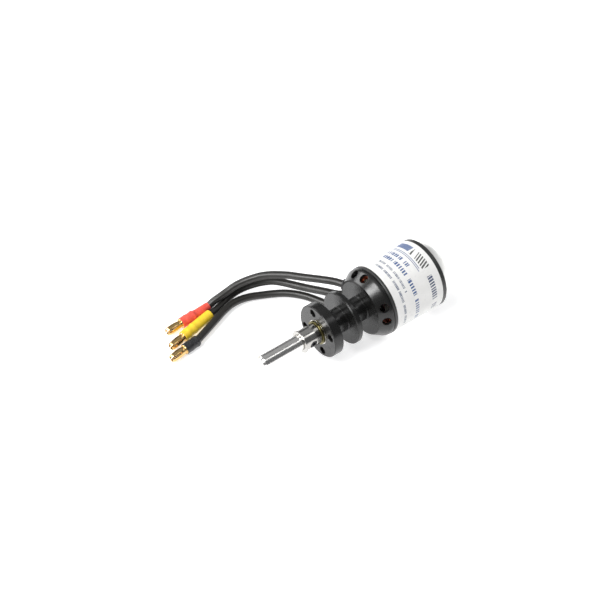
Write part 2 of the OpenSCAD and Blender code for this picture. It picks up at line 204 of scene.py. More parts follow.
def lamination_steel():
    """Thin stacked plates: a groove at each step of SHEET_T along the axis."""
    g = Graph("lamination_steel")
    point = g.object_point()
    x = g.split(point)[0]
    saw = g.math("PINGPONG", x, SHEET_T / 2 * MM)
    groove = g.math("LESS_THAN", saw, SHEET_GROOVE * MM)
    patch = g.noise(point, 900, 3)
    plate = g.mix(g.spread(patch, 0, 1), (0.30, 0.31, 0.34), (0.18, 0.18, 0.20))
    g.set(Base_Color=g.mix(groove, plate, (0.05, 0.05, 0.06)), Metallic=0.85)
    g.set(Roughness=g.spread(patch, 0.32, 0.5))
    g.bump(g.math("MULTIPLY", saw, 0.15))
    return g.material


# Printed rows on the label: low x, high x (mm), first and last angle, length of a group of
# strokes, pitch of the strokes and their slant (degrees, degrees per mm), and ink colour.
# A row without a group length is a solid block that fades towards its first angle.
STROKE_WIDTH, STROKE_SPREAD = 0.42, 0.38  # least printed share of a pitch, and what chance adds
WORD_LENGTH, WORD_SPREAD = 0.74, 0.16  # the same for the share of a group that has strokes
SEAM_ANGLE, SEAM_HALF, RIPPLE = -118.0, 0.35, 0.03
NAVY = (0.018, 0.036, 0.11)
BLUE = (0.006, 0.060, 0.22)
DARK = (0.028, 0.026, 0.026)
GREY = (0.026, 0.055, 0.13)
LABEL_ROWS = [
    (-46.9, -43.9, 98, 128, 0, 0, 0, BLUE),
    (-46.9, -43.4, 58, 94, 40, 4.9, 1.6, DARK),
    (-42.6, -42.3, 62, 124, 0, 0, 0, BLUE),
    (-41.9, -41.6, 58, 124, 0, 0, 0, BLUE),
    (-45.9, -43.6, -18, 45, 66, 4.4, 0.5, NAVY),
    (-40.2, -38.5, 74, 122, 52, 4.3, 0.4, BLUE),
    (-37.2, -35.5, -20, 118, 34, 4.6, 0.4, BLUE),
    (-33.5, -32.5, 40, 112, 17, 2.1, 0.2, GREY),
    (-31.0, -30.0, -20, 110, 21, 2.1, 0.2, GREY),
]


def label_film():
    """White printed film: groups of plain strokes and thin lines, with a cut seam low down."""
    g = Graph("label_film")
    point = g.object_point()
    x, y, z = g.split(point)
    angle = g.math("MULTIPLY", g.math("ARCTAN2", z, y), 180 / math.pi)
    patch = g.noise(point, 260, 4)
    colour = g.mix(g.spread(patch, 0, 1), (0.81, 0.805, 0.79), (0.76, 0.755, 0.74))

    def between(value, low, high):
        return g.math("MULTIPLY", g.math("GREATER_THAN", value, low),
                      g.math("LESS_THAN", value, high))

    def chance(cell, seed):
        """A steady random value for each cell of a row."""
        return g.node("TexWhiteNoise", {"Vector": g.join(g.math("FLOOR", cell), seed)},
                      noise_dimensions="2D").outputs["Value"]

    for row, (x0, x1, a0, a1, group, pitch, slant, ink) in enumerate(LABEL_ROWS):
        mask = g.math("MULTIPLY", between(x, x0 * MM, x1 * MM), between(angle, a0, a1))
        if group:
            lean = g.math("MULTIPLY", x, slant / MM)
            along = g.math("SUBTRACT", g.math("ADD", angle, lean), float(a0))
            stroke = g.math("DIVIDE", along, pitch)
            width = g.math("ADD", STROKE_WIDTH,
                           g.math("MULTIPLY", chance(stroke, row * 7.3), STROKE_SPREAD))
            mask = g.math("MULTIPLY", mask, g.math("LESS_THAN", g.math("FRACT", stroke), width))
            place = g.math("DIVIDE", along, group)
            word = g.math("ADD", WORD_LENGTH,
                          g.math("MULTIPLY", chance(place, row * 3.1), WORD_SPREAD))
            mask = g.math("MULTIPLY", mask, g.math("LESS_THAN", g.math("FRACT", place), word))
        else:
            mask = g.math("MULTIPLY", mask, g.spread(angle, 0.85, 1.0, float(a0), float(a1)))
        worn = g.math("MULTIPLY", mask, g.spread(g.noise(point, 1800, 2), 0.82, 1.0))
        colour = g.mix(worn, colour, ink)
    from_seam = g.math("ABSOLUTE", g.math("SUBTRACT", angle, SEAM_ANGLE))
    seam = g.math("LESS_THAN", from_seam, SEAM_HALF)
    g.set(Base_Color=g.mix(g.math("MULTIPLY", seam, 0.5), colour, (0.45, 0.45, 0.47)))
    g.set(Roughness=g.spread(g.noise(point, 900, 3), 0.26, 0.36))
    ripple = g.math("MULTIPLY", g.noise(point, 140, 2), RIPPLE * MM)
    g.bump(g.math("SUBTRACT", ripple, g.math("MULTIPLY", seam, RIPPLE * MM)))
    return g.material


STEEL = dict(metallic=1.0, grain=4000)
FINISH = {
    "black_anodised": surface("black_anodised", (0.0085, 0.0085, 0.008), (0.005, 0.005, 0.0048),
                              (0.20, 0.31), lines=0.0022, IOR=1.5),
    "can_black": surface("can_black", (0.027, 0.027, 0.026), (0.019, 0.019, 0.019),
                         (0.30, 0.42), lines=0.002, IOR=1.55),
    "aluminium": surface("aluminium", (0.86, 0.86, 0.84), (0.78, 0.78, 0.76), (0.34, 0.48),
                         lines=0.006, **STEEL),
    "polished_steel": surface("polished_steel", (0.82, 0.81, 0.79), (0.74, 0.73, 0.71),
                              (0.18, 0.28), lines=0.0012, grain_depth=0.0008, **STEEL),
    "collar_steel": surface("collar_steel", (0.54, 0.53, 0.51), (0.45, 0.44, 0.42),
                            (0.14, 0.24), lines=0.0014, grain_depth=0.0008, **STEEL),
    "bearing_steel": surface("bearing_steel", (0.78, 0.77, 0.75), (0.68, 0.67, 0.65),
                             (0.12, 0.20), lines=0.0015, grain_depth=0.001, **STEEL),
    "bearing_shield": surface("bearing_shield", (0.62, 0.50, 0.20), (0.42, 0.34, 0.12),
                              (0.24, 0.36), lines=0.003, **STEEL),
    "brass": surface("brass", (0.20, 0.175, 0.075), (0.12, 0.105, 0.04), (0.24, 0.36),
                     lines=0.003, **STEEL),
    "cage_brass": surface("cage_brass", (0.70, 0.52, 0.22), (0.55, 0.40, 0.16), (0.25, 0.4),
                          **STEEL),
    "gold_plate": surface("gold_plate", (0.80, 0.57, 0.27), (0.64, 0.42, 0.16), (0.14, 0.26),
                          grain_depth=0.003, **STEEL),
    "black_oxide": surface("black_oxide", (0.045, 0.045, 0.05), (0.022, 0.022, 0.026),
                           (0.3, 0.42), metallic=0.6),
    "magnet": surface("magnet", (0.50, 0.51, 0.53), (0.36, 0.37, 0.39), (0.25, 0.4),
                      metallic=0.9, patches=500),
    "insulator": surface("insulator", (0.72, 0.71, 0.62), (0.60, 0.58, 0.48), (0.38, 0.5)),
    "lead_insulation": surface("lead_insulation", (0.019, 0.018, 0.016), (0.012, 0.0115, 0.010),
                               (0.30, 0.42), patches=160, grain=900, grain_depth=0.012),
    "grommet_rubber": surface("grommet_rubber", (0.022, 0.022, 0.023), (0.014, 0.014, 0.015),
                              (0.45, 0.6), grain_depth=0.01),
    "sleeve_red": surface("sleeve_red", (0.84, 0.125, 0.085), (0.70, 0.070, 0.050),
                          (0.22, 0.38), patches=420, grain=1100, grain_depth=0.016),
    "sleeve_yellow": surface("sleeve_yellow", (0.90, 0.66, 0.045), (0.80, 0.52, 0.025),
                             (0.24, 0.40), patches=420, grain=1100, grain_depth=0.016),
    "sleeve_black": surface("sleeve_black", (0.026, 0.026, 0.028), (0.015, 0.015, 0.016),
                            (0.22, 0.36), patches=420, grain=1100, grain_depth=0.016),
    "copper_enamel": winding_wire(),
    "lamination_steel": lamination_steel(),
    "label_film": label_film(),
}

# ---- shells: (points, faces) in millimetres ------------------------------------------------

ON_AXIS = 1e-6  # a point nearer to the axis than this is on it
LEAST_TURN = 11  # degrees; a corner that turns less stays as it is
LONGEST_ROUND = 0.42  # share of a side that a rounded corner may take
GUARD = 1.15  # distance of a guard point, in reaches of its round
ROUND_STEP = 22  # degrees
ROUTE_SPANS = 6  # steps between two points of a lead's route
SHARP_ANGLE = 38  # degrees; an edge that turns more isn't smoothed
HOLE_STEPS = 48


def softened(outline, softness):
    """Rounds an outline's corners, with a guard point beside each round that keeps flats flat."""
    points = [Vector(p) for p in outline]
    result = []
    for i, corner in enumerate(points):
        to_last = points[i - 1] - corner
        to_next = points[(i + 1) % len(points)] - corner
        turn = math.pi - to_last.angle(to_next)
        if corner[0] < ON_AXIS or turn < math.radians(LEAST_TURN):
            result.append(corner)
            continue
        reach = min(softness * math.tan(turn / 2), LONGEST_ROUND * to_last.length,
                    LONGEST_ROUND * to_next.length)
        before, after = to_last.normalized(), to_next.normalized()
        result.append(corner + before * reach * GUARD)
        steps = max(2, round(math.degrees(turn) / ROUND_STEP))
        for k in range(steps + 1):
            t = k / steps
            start, end = corner + before * reach, corner + after * reach
            result.append((1 - t) ** 2 * start + 2 * t * (1 - t) * corner + t * t * end)
        result.append(corner + after * reach * GUARD)
    return result


def lathe(outline, steps=144, softness=0.1):
    """Turns an outline round the X axis."""
    profile = softened(outline, softness) if softness else [Vector(p) for p in outline]
    points, rings = [], []
    for radius, x in profile:
        if radius < ON_AXIS:
            rings.append([len(points)] * steps)
            points.append((x, 0, 0))
        else:
            rings.append(list(range(len(points), len(points) + steps)))
            for k in range(steps):
                a = 2 * math.pi * k / steps
                points.append((x, radius * math.cos(a), radius * math.sin(a)))
    faces = []
    for i, ring in enumerate(rings):
        other = rings[(i + 1) % len(rings)]
        for k in range(steps):
            n = (k + 1) % steps
            face = list(dict.fromkeys((ring[k], ring[n], other[n], other[k])))
            if len(face) > 2:
                faces.append(face)
    return points, faces


def prism(outline, low, high):
    """Stands a flat (y, z) outline up along X."""
    count = len(outline)
    points = [(x, y, z) for x in (low, high) for y, z in outline]
    faces = [list(range(count)), list(range(2 * count - 1, count - 1, -1))]
    for k in range(count):
        n = (k + 1) % count
        faces.append([k, n, n + count, k + count])
    return points, faces


def placed(shell, matrix):
    return [tuple(matrix @ Vector(p)) for p in shell[0]], shell[1]


def joined(shells):
    points, faces = [], []
    for p, f in shells:
        faces += [[i + len(points) for i in face] for face in f]
        points += p
    return points, faces


def smooth_path(points):
    """A dense Catmull-Rom curve through the points."""
    pts = [Vector(p) for p in points]
    pts = [2 * pts[0] - pts[1], *pts, 2 * pts[-1] - pts[-2]]
    path = []
    for i in range(1, len(pts) - 2):
        p0, p1, p2, p3 = pts[i - 1:i + 3]
        for k in range(ROUTE_SPANS):
            t = k / ROUTE_SPANS
            path.append(0.5 * (2 * p1 + (p2 - p0) * t + (2 * p0 - 5 * p1 + 4 * p2 - p3) * t * t
                               + (3 * p1 - p0 - 3 * p2 + p3) * t ** 3))
    return [*path, pts[-2]]


def tube(path, radius, sides):
    """A round tube along a path, closed at both ends."""
    count = len(path)
    points, faces = [], []
    side = None
    for i, p in enumerate(path):
        way = path[min(i + 1, count - 1)] - path[max(i - 1, 0)]
        way.normalize()
        if side is None:
            side = way.cross(Vector((0, 0, 1)) if abs(way.z) < 0.9 else Vector((0, 1, 0)))
        side = (side - way * side.dot(way)).normalized()
        up = side.cross(way)
        for k in range(sides):
            a = 2 * math.pi * k / sides
            points.append(tuple(p + radius * (side * math.cos(a) + up * math.sin(a))))
    for i in range(count - 1):
        a, b = i * sides, (i + 1) * sides
        for k in range(sides):
            n = (k + 1) % sides
            faces.append([a + k, a + n, b + n, b + k])
    faces.append(list(range(sides - 1, -1, -1)))
    faces.append(list(range((count - 1) * sides, count * sides)))
    return points, faces


# ---- pieces ----------------------------------------------------------------------------


def mesh_object(name, shell, sharp=SHARP_ANGLE):
    data = bpy.data.meshes.new(name)
    data.from_pydata([(x * MM, y * MM, z * MM) for x, y, z in shell[0]], [], shell[1])
    work = bmesh.new()
    work.from_mesh(data)
    bmesh.ops.recalc_face_normals(work, faces=work.faces)
    work.to_mesh(data)
    work.free()
    smooth(data, sharp)
    obj = bpy.data.objects.new(name, data)
    bpy.context.scene.collection.objects.link(obj)
    return obj


def smooth(data, sharp):
    data.polygons.foreach_set("use_smooth", [True] * len(data.polygons))
    data.set_sharp_from_angle(angle=math.radians(sharp))


def carve(obj, cutter_shell, sharp=SHARP_ANGLE):
    """Cuts closed shells out of an object."""
    cutter = mesh_object("cutter", cutter_shell)
    cut = obj.modifiers.new("carve", "BOOLEAN")
    cut.object, cut.operation, cut.solver = cutter, "DIFFERENCE", "EXACT"
    depsgraph = bpy.context.evaluated_depsgraph_get()
    data = bpy.data.meshes.new_from_object(obj.evaluated_get(depsgraph))
    obj.modifiers.clear()
    obj.data = data
    smooth(data, sharp)
    bpy.data.objects.remove(cutter)


def finish_piece(obj, finish, body, nodes):
    """Gives a piece its finish, and has it stand for CAD nodes of a body."""
    obj.data.materials.clear()
    obj.data.materials.append(FINISH[finish])
    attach(obj, body)
    if nodes:
        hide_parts(*nodes)
    return obj


def piece(name, shell, finish, body, *nodes, cutters=(), sharp=SHARP_ANGLE):
    obj = mesh_object(name, shell, sharp)
    if cutters:
        carve(obj, joined(cutters), sharp)
    return finish_piece(obj, finish, body, nodes)


def at_angle(angle, x=0.0, radius=0.0, lean=0.0):
    """Places a shell drawn along +X so that it points outward from the motor axis."""
    return (Matrix.Rotation(math.radians(angle), 4, "X") @ Matrix.Translation((x, radius, 0))
            @ Matrix.Rotation(math.radians(90 - lean), 4, "Z"))


def along_axis(angle, radius):
    """Places a shell drawn along +X beside the motor axis."""
    return Matrix.Rotation(math.radians(angle), 4, "X") @ Matrix.Translation((0, radius, 0))


def drill(radius, high, low, chamfer=0.15):
    """Cutter for a hole from height high down to low, with a chamfer at both ends."""
    flare = 0.5
    return lathe([(0, high + flare), (radius + chamfer + flare, high + flare),
                  (radius, high - chamfer), (radius, low + chamfer),
                  (radius + chamfer + flare, low - flare), (0, low - flare)], HOLE_STEPS, 0)


# ---- leads -----------------------------------------------------------------------------

LEAD_R = 1.5
# Routes of the leads, the same points as in part.scad. They were not chosen by hand: a
# least-squares fit to the leads in the photograph made them, rounded to 0.1 mm.
ROUTES = {
    "red": [
        (-22.3, -13.3, 0.5), (-20.8, -15.9, 0.5), (-18.9, -18.6, 0.3), (-16.8, -21.5, -0.1),
        (-14.6, -24.4, -0.5), (-12.3, -27.5, -0.9), (-10.1, -30.6, -1.3), (-7.7, -33.5, -1.9),
        (-5.2, -36.3, -2.6), (-2.5, -38.7, -3.5), (0.5, -40.6, -4.6), (3.6, -42.1, -5.7),
        (6.8, -43.1, -6.8), (10, -43.6, -8.1), (13.1, -43.9, -9.2), (16, -44.3, -10.3),
        (18.5, -44.5, -11.6)],
    "yellow": [
        (-22.3, -12.5, -4.5), (-20.9, -14.8, -5.4), (-19.4, -17.7, -6), (-17.6, -20.9, -6.5),
        (-15.6, -24.3, -7), (-13.6, -27.7, -7.4), (-11.5, -31.1, -7.6), (-9.4, -34.4, -7.8),
        (-7, -37.4, -8.1), (-4.2, -39.8, -8.8), (-1.1, -41.7, -9.6), (2.2, -43.1, -10.4),
        (5.5, -43.9, -11.2), (8.8, -43.9, -11.9), (12.2, -43.2, -12.4), (16, -41.9, -12.4),
        (20.5, -40.5, -11.6)],
    "black": [
        (-22.3, -9.9, -8.9), (-21, -11.6, -10.3), (-19.6, -14.2, -11.1), (-18, -17.6, -11.3),
        (-16.3, -21.3, -11.3), (-14.2, -25.1, -11.1), (-11.7, -28.7, -11.2), (-8.6, -32, -11.4),
        (-5, -34.8, -11.8), (-1.1, -37.1, -12), (2.9, -38.9, -11.9), (7, -39.8, -11.7),
        (11.1, -39.7, -11.5), (15.2, -38.7, -11.4), (19.3, -37.1, -11.3), (23.4, -35.5, -11.3),
        (27.7, -33.9, -11.4), (32, -32.4, -11.6)],
}
# Plugs: heading in degrees, sleeve length and neck radius in mm, and the lead's length in metres
PLUGS = {"red": (5, 13.6, 1.8, 0.056), "yellow": (13, 15.2, 2.15, 0.060),
         "black": (8, 6.4, 1.8, 0.071)}
BARREL_LEN = 6
CONTACT_LEN = 6.8
CRINKLE = 0.026  # deepest dip of a sleeve's skin, as a share of its radius
SLIT_HALF, SLIT_START, SLIT_REACH = 0.175, 1.75, 2.4


def sleeve_outline(end, neck):
    """Heat-shrink film: thin on the lead, then drawn over the solder barrel and its two rims."""
    bulge = end - BARREL_LEN - 0.4
    collar = [(1.2, 0.12), (neck - 0.22, 0), (neck - 0.13, 0.2)]
    if bulge > 1:
        collar += [(neck - 0.10, 0.8), (neck - 0.06, bulge * 0.55), (neck - 0.02, bulge - 1.2)]
    return [(0, 0.3), *collar, (max(neck, 1.92), bulge - 0.35), (2.24, bulge + 0.3),
            (2.30, bulge + 0.7), (2.2, bulge + 1.2), (2.12, bulge + 2.2), (2.2, bulge + 3.1),
            (2.29, bulge + 3.7), (2.2, bulge + 4.4), (2.15, end - 0.6), (2.2, end - 0.3),
            (2.14, end - 0.04), (2.02, end), (2.0, end - BARREL_LEN + 0.2),
            (0, end - BARREL_LEN + 0.1)]


def crinkled(shell, seed):
    """Shrinks a sleeve's skin unevenly, as film drawn tight over a lead looks."""
    rng = random.Random(seed)
    waves = [(rng.uniform(0.5, 1.6), rng.choice((1, 2, 3)), rng.uniform(0, 6.3)) for _ in range(5)]
    moved = []
    for x, y, z in shell[0]:
        a = math.atan2(z, y)
        dip = sum(0.5 + 0.5 * math.sin(k * x + n * a + phase) for k, n, phase in waves) / 5
        share = 1 - CRINKLE * dip
        moved.append((x, y * share, z * share))
    return moved, shell[1]


def bullet_outline(end):
    """Gold contact: solder barrel, shoulder, waist and a slightly barrelled spring."""
    tip = end + CONTACT_LEN
    back = end - BARREL_LEN + 0.1
    return [(0, back), (1.98, back), (1.98, end + 0.1), (1.9, end + 0.3),
            (1.52, end + 0.3), (1.48, end + 0.8), (1.6, end + 1.15), (1.70, end + 1.7),
            (1.75, end + 3.2), (1.72, end + 4.9), (1.62, tip - 0.75), (1.30, tip - 0.1),
            (1.15, tip), (0.92, tip), (0.85, tip - 0.25), (0.85, end + 1.6), (0, end + 1.4)]


def slits(end):
    """Two crossed cutters, which make the four slits of a contact."""
    outline = [(-SLIT_REACH, -SLIT_HALF), (SLIT_REACH, -SLIT_HALF),
               (SLIT_REACH, SLIT_HALF), (-SLIT_REACH, SLIT_HALF)]
    body = prism(outline, end + SLIT_START, end + CONTACT_LEN + 1)
    return [placed(body, Matrix.Rotation(math.radians(a), 4, "X")) for a in (45, 135)]


def make_lead(colour, seed):
    heading, end, neck, length = PLUGS[colour]
    route = ROUTES[colour]
    path = smooth_path(route)
    lead = piece(f"lead_{colour}_wire", tube(path, LEAD_R, 28), "lead_insulation", "stator",
                 f"lead_{colour}")
    turn = Matrix.Translation(route[-1]) @ Matrix.Rotation(math.radians(heading), 4, "Z")
    skin = crinkled(lathe(sleeve_outline(end, neck), 72, 0.25), seed)
    sleeve = piece(f"sleeve_{colour}_film", placed(skin, turn), f"sleeve_{colour}", "stator",
                   f"sleeve_{colour}")
    bullet = mesh_object(f"bullet_{colour}_contact", lathe(bullet_outline(end), 64, 0.07))
    for cutter in slits(end):
        carve(bullet, cutter)
    bullet.data.transform(Matrix.Scale(1 / MM, 4))
    bullet.data.transform(turn)
    bullet.data.transform(Matrix.Scale(MM, 4))
    finish_piece(bullet, "gold_plate", "stator", [f"bullet_{colour}"])


for number, lead_colour in enumerate(ROUTES):
    make_lead(lead_colour, number + 11)

# ---- sizes that several pieces share -------------------------------------------------------

SHAFT_R, FLAT_R = 3, 2.8
BEARING_R, BEARING_W = 5, 3

# ---- front mount ---------------------------------------------------------------------------

FLANGE_R, FLANGE_T, BOLT_CIRCLE_R, BOLT_R, BOLT_ANGLE = 10.6, 4.1, 8, 1.5, 22
MID_FRONT, MID_REAR, NECK_R = -11, -13.1, 4.8
HOUSING_X, HOUSING_FRONT_R, SLOPE, BEND_R = -20, 11.2, 31, 3
RIM_R, HOUSING_REAR, WALL, FRONT_WALL = 13.9, -25.4, 1.4, 2.2
TUBE_R, TUBE_FRONT, BORE_CLEAR_R = 6, -20.8, 3.7
HUB_R, HUB_REAR = 7.2, -26
EDGE, COVE, RIM_LAND = 0.3, 0.25, 0.1
PORT_X = -22.6
PORT_R = HOUSING_FRONT_R + (HOUSING_X - PORT_X) * math.tan(math.radians(SLOPE))
VENT_R, VENT_ANGLES = 1.75, (7, 33, 97, 123, 277, 303)
GROMMET_R, PORT_ANGLES = 1.9, (178, 200, 222)
HOLE_DEPTH = 2.6


def mount_outline():
    tan = math.tan(math.radians(SLOPE))
    cup_in = HOUSING_FRONT_R - WALL / math.cos(math.radians(SLOPE))
    mouth = RIM_R - WALL
    bend = [(RIM_R - BEND_R + BEND_R * math.cos(math.radians(a)),
             HOUSING_REAR + RIM_LAND + BEND_R * math.sin(math.radians(a)))
            for a in range(SLOPE, -1, -4)]
    return [
        (BEARING_R, 0), (FLANGE_R - EDGE, 0), (FLANGE_R, -EDGE), (FLANGE_R, EDGE - FLANGE_T),
        (FLANGE_R - EDGE, -FLANGE_T), (NECK_R + COVE, -FLANGE_T), (NECK_R, -FLANGE_T - COVE),
        (NECK_R, MID_FRONT + COVE), (NECK_R + COVE, MID_FRONT), (FLANGE_R - EDGE, MID_FRONT),
        (FLANGE_R, MID_FRONT - EDGE), (FLANGE_R, MID_REAR + EDGE), (FLANGE_R - EDGE, MID_REAR),
        (NECK_R + COVE, MID_REAR), (NECK_R, MID_REAR - COVE), (NECK_R, HOUSING_X + COVE),
        (NECK_R + COVE, HOUSING_X), (HOUSING_FRONT_R - 0.5, HOUSING_X),
        (HOUSING_FRONT_R + 0.1, HOUSING_X - 0.25), *bend, (RIM_R, HOUSING_REAR),
        (mouth, HOUSING_REAR), (mouth, HOUSING_X - (mouth - cup_in) / tan),
        (cup_in + FRONT_WALL * tan, HOUSING_X - FRONT_WALL), (HUB_R, HOUSING_X - FRONT_WALL),
        (HUB_R, HUB_REAR), (TUBE_R, HUB_REAR), (TUBE_R, TUBE_FRONT), (BORE_CLEAR_R, TUBE_FRONT),
        (BORE_CLEAR_R, -BEARING_W), (BEARING_R, -BEARING_W)]


def wall_hole(radius, angle):
    """Cutter for a hole square through the sloping wall of the housing."""
    return placed(drill(radius, 0, -HOLE_DEPTH, 0.12), at_angle(angle, PORT_X, PORT_R, SLOPE))


bolt_holes = [placed(drill(BOLT_R, 0, -FLANGE_T), along_axis(BOLT_ANGLE + 90 * i, BOLT_CIRCLE_R))
              for i in range(4)]
vents = [wall_hole(VENT_R, a) for a in VENT_ANGLES]
ports = [wall_hole(GROMMET_R, a) for a in PORT_ANGLES]
piece("mount", lathe(mount_outline(), 192, 0.07), "black_anodised", "stator", "front_mount",
      cutters=bolt_holes + vents + ports)

GROMMET_NECK_R, GROMMET_LIP_R, GROMMET_LOW, GROMMET_HIGH = 1.88, 2.2, -1.8, 0.6
grommet = lathe([(LEAD_R, GROMMET_LOW), (GROMMET_NECK_R, GROMMET_LOW), (GROMMET_NECK_R, 0.02),
                 (GROMMET_LIP_R, 0.02), (GROMMET_LIP_R, 0.35), (1.95, GROMMET_HIGH),
                 (LEAD_R, GROMMET_HIGH)], 48, 0.12)
piece("grommets", joined([placed(grommet, at_angle(a, PORT_X, PORT_R, SLOPE))
                          for a in PORT_ANGLES]), "grommet_rubber", "stator", "lead_grommets")

# ---- coils -------------------------------------------------------------------------------

STACK_MID, COIL_REACH, TOOTH_COUNT = -37.5, 8.5, 12
WIRE_R, TURNS, COIL_LOW, COIL_HIGH = 0.225, 5, 7.97, 10.18
LAYERS = (1.29, 1.755)
STEPS_PER_TURN = 30
SIDE_SHARE, END_SHARE = 0.3, 0.2  # of one turn: a straight side and a round end
HALF_TURN = SIDE_SHARE + END_SHARE
FIRST_TOOTH_ANGLE = 15


def coil_path(half, rng):
    """A helix of racetrack turns round one tooth: x along the motor, y outward, z across."""
    path = []
    rise = (COIL_HIGH - COIL_LOW - 2 * WIRE_R) / (TURNS - 0.4)
    drift = [rng.uniform(-0.02, 0.02) for _ in range(TURNS + 1)]
    for i in range(int(STEPS_PER_TURN * (TURNS - 0.4))):
        turn, share = divmod(i / STEPS_PER_TURN, 1)
        y = COIL_LOW + WIRE_R + rise * (turn + share)
        w = half + drift[int(turn)]
        if share < SIDE_SHARE:
            x, z = COIL_REACH * (1 - share / (SIDE_SHARE / 2)), w
        elif share < HALF_TURN:
            a = math.pi * (share - SIDE_SHARE) / END_SHARE
            x, z = -COIL_REACH - w * math.sin(a), w * math.cos(a)
        elif share < HALF_TURN + SIDE_SHARE:
            x, z = COIL_REACH * ((share - HALF_TURN) / (SIDE_SHARE / 2) - 1), -w
        else:
            a = math.pi * (share - (HALF_TURN + SIDE_SHARE)) / END_SHARE
            x, z = COIL_REACH + w * math.sin(a), -w * math.cos(a)
        path.append(Vector((STACK_MID + x, y, z)))
    return path


def all_coils():
    rng = random.Random(5)
    shells = []
    for i in range(TOOTH_COUNT):
        turn = Matrix.Rotation(math.radians(FIRST_TOOTH_ANGLE + 360 / TOOTH_COUNT * i), 4, "X")
        for half in LAYERS:
            shells.append(placed(tube(coil_path(half, rng), WIRE_R, 8), turn))
    return joined(shells)


piece("coils", all_coils(), "copper_enamel", "stator", "windings", sharp=60)

# ---- bearings, washer, collar and shaft ----------------------------------------------------

RING_OUT_R, RING_IN_R, REAR_BEARING_X = 4.45, 3.55, -44.5
GROOVE_DEPTH, GROOVE_HALF, GROOVE_STEPS = 0.17, 0.42, 6
SHIELD_INSET, SHIELD_T, SHIELD_DISH, SHIELD_IN_R = 0.2, 0.15, 0.05, 3.65


def ring(x_low, x_high, r_out, r_in):
    return [(r_in, x_low), (r_out, x_low), (r_out, x_high), (r_in, x_high)]


def bearing_ring(r_out, r_in, groove_r, x0):
    """One ring with its ball groove on the side of groove_r."""
    mid = x0 - BEARING_W / 2
    way = 1 if groove_r == r_in else -1
    angles = [math.pi * k / GROOVE_STEPS for k in range(GROOVE_STEPS + 1)]
    groove = [(groove_r + GROOVE_DEPTH * way * math.sin(a), mid + GROOVE_HALF * math.cos(a))
              for a in angles]
    outer = [(r_out, x0 - BEARING_W), (r_out, x0)]
    inner = [(r_in, x0), (r_in, x0 - BEARING_W)]
    if groove_r == r_in:
        inner = [inner[0], *groove, inner[1]]
    else:
        outer = [outer[0], *reversed(groove), outer[1]]
    return outer + inner


def shield_outline(face, way):
    """A thin cover with a shallow dish. way points from its face into the bearing."""
    dish = face + SHIELD_DISH * way
    back = face + SHIELD_T * way
    return [(SHIELD_IN_R, face), (3.8, face), (3.92, dish), (4.22, dish), (4.32, face),
            (RING_OUT_R, face), (RING_OUT_R, back), (SHIELD_IN_R, back)]


for end, front_x in (("front", 0), ("rear", REAR_BEARING_X)):
    outer = bearing_ring(BEARING_R, RING_OUT_R, RING_OUT_R, front_x)
    piece(f"{end}_bearing_outer", lathe(outer, 120), "bearing_steel", "stator",
          f"{end}_bearing_outer_ring")
    inner = bearing_ring(RING_IN_R, SHAFT_R, RING_IN_R, front_x)
    piece(f"{end}_bearing_inner", lathe(inner, 120), "bearing_steel", "rotor",
          f"{end}_bearing_inner_ring")
    shields = [lathe(shield_outline(face, way), 120, 0.03)
               for face, way in ((front_x - SHIELD_INSET, -1),
                                 (front_x - BEARING_W + SHIELD_INSET, 1))]
    piece(f"{end}_bearing_covers", joined(shields), "bearing_shield", "stator",
          f"{end}_bearing_shields")

WASHER_T, WASHER_R, WASHER_EDGE = 0.85, 4.7, 0.1
WASHER_FOOT_R, WASHER_FOOT_T = 3.5, 0.15  # stands on the inner ring, clear of the outer
washer_outline = [
    (SHAFT_R, 0), (WASHER_FOOT_R, 0), (WASHER_FOOT_R, WASHER_FOOT_T),
    (WASHER_R - WASHER_EDGE, WASHER_FOOT_T), (WASHER_R, WASHER_FOOT_T + WASHER_EDGE),
    (WASHER_R, WASHER_T - WASHER_EDGE), (WASHER_R - WASHER_EDGE, WASHER_T), (SHAFT_R, WASHER_T)]
piece("washer", lathe(washer_outline, 120, 0.05), "brass", "rotor", "thrust_washer")

COLLAR_R, COLLAR_FRONT, SCREW_X, SCREW_ANGLE, SCREW_R = 4.05, 8.3, 4.6, -2, 1.5
LIP_R, LIP_REAR, COLLAR_EDGE, LIP_EDGE = 4.5, 7.8, 0.3, 0.15
SHAFT_TIP, SHAFT_REAR = 26, -57.8
RELIEF_LOW, RELIEF_HIGH = COLLAR_FRONT - 0.6, COLLAR_FRONT + 0.1
TIP_TAPER_LEN, TIP_TAPER, CENTRE_R, CENTRE_DEPTH, REAR_EDGE = 0.9, 0.7, 0.55, 0.6, 0.4
BELL_SCREW_X, BELL_SCREW_ANGLES = -53.2, (90, 18)
BORE_LOW = 1  # screw bores are cut down to this radius, well inside the hole for the shaft
FLAT_HALF = 2

collar_outline = [
    (SHAFT_R, WASHER_T), (COLLAR_R - COLLAR_EDGE, WASHER_T), (COLLAR_R, WASHER_T + COLLAR_EDGE),
    (COLLAR_R, LIP_REAR), (LIP_R, LIP_REAR), (LIP_R, COLLAR_FRONT - LIP_EDGE),
    (LIP_R - LIP_EDGE, COLLAR_FRONT), (SHAFT_R + LIP_EDGE, COLLAR_FRONT),
    (SHAFT_R, COLLAR_FRONT - LIP_EDGE)]
collar_bore = placed(drill(SCREW_R, COLLAR_R, BORE_LOW, 0.2), at_angle(SCREW_ANGLE, SCREW_X))
piece("collar", lathe(collar_outline, 144, 0.06), "collar_steel", "rotor", "shaft_collar",
      cutters=[collar_bore])


def flat_cut(x, angle):
    """Cutter for the flat on the shaft under a set screw."""
    outline = [(FLAT_R, -SHAFT_R), (FLAT_R + SHAFT_R, -SHAFT_R),
               (FLAT_R + SHAFT_R, SHAFT_R), (FLAT_R, SHAFT_R)]
    return placed(prism(outline, x - FLAT_HALF, x + FLAT_HALF),
                  Matrix.Rotation(math.radians(angle), 4, "X"))


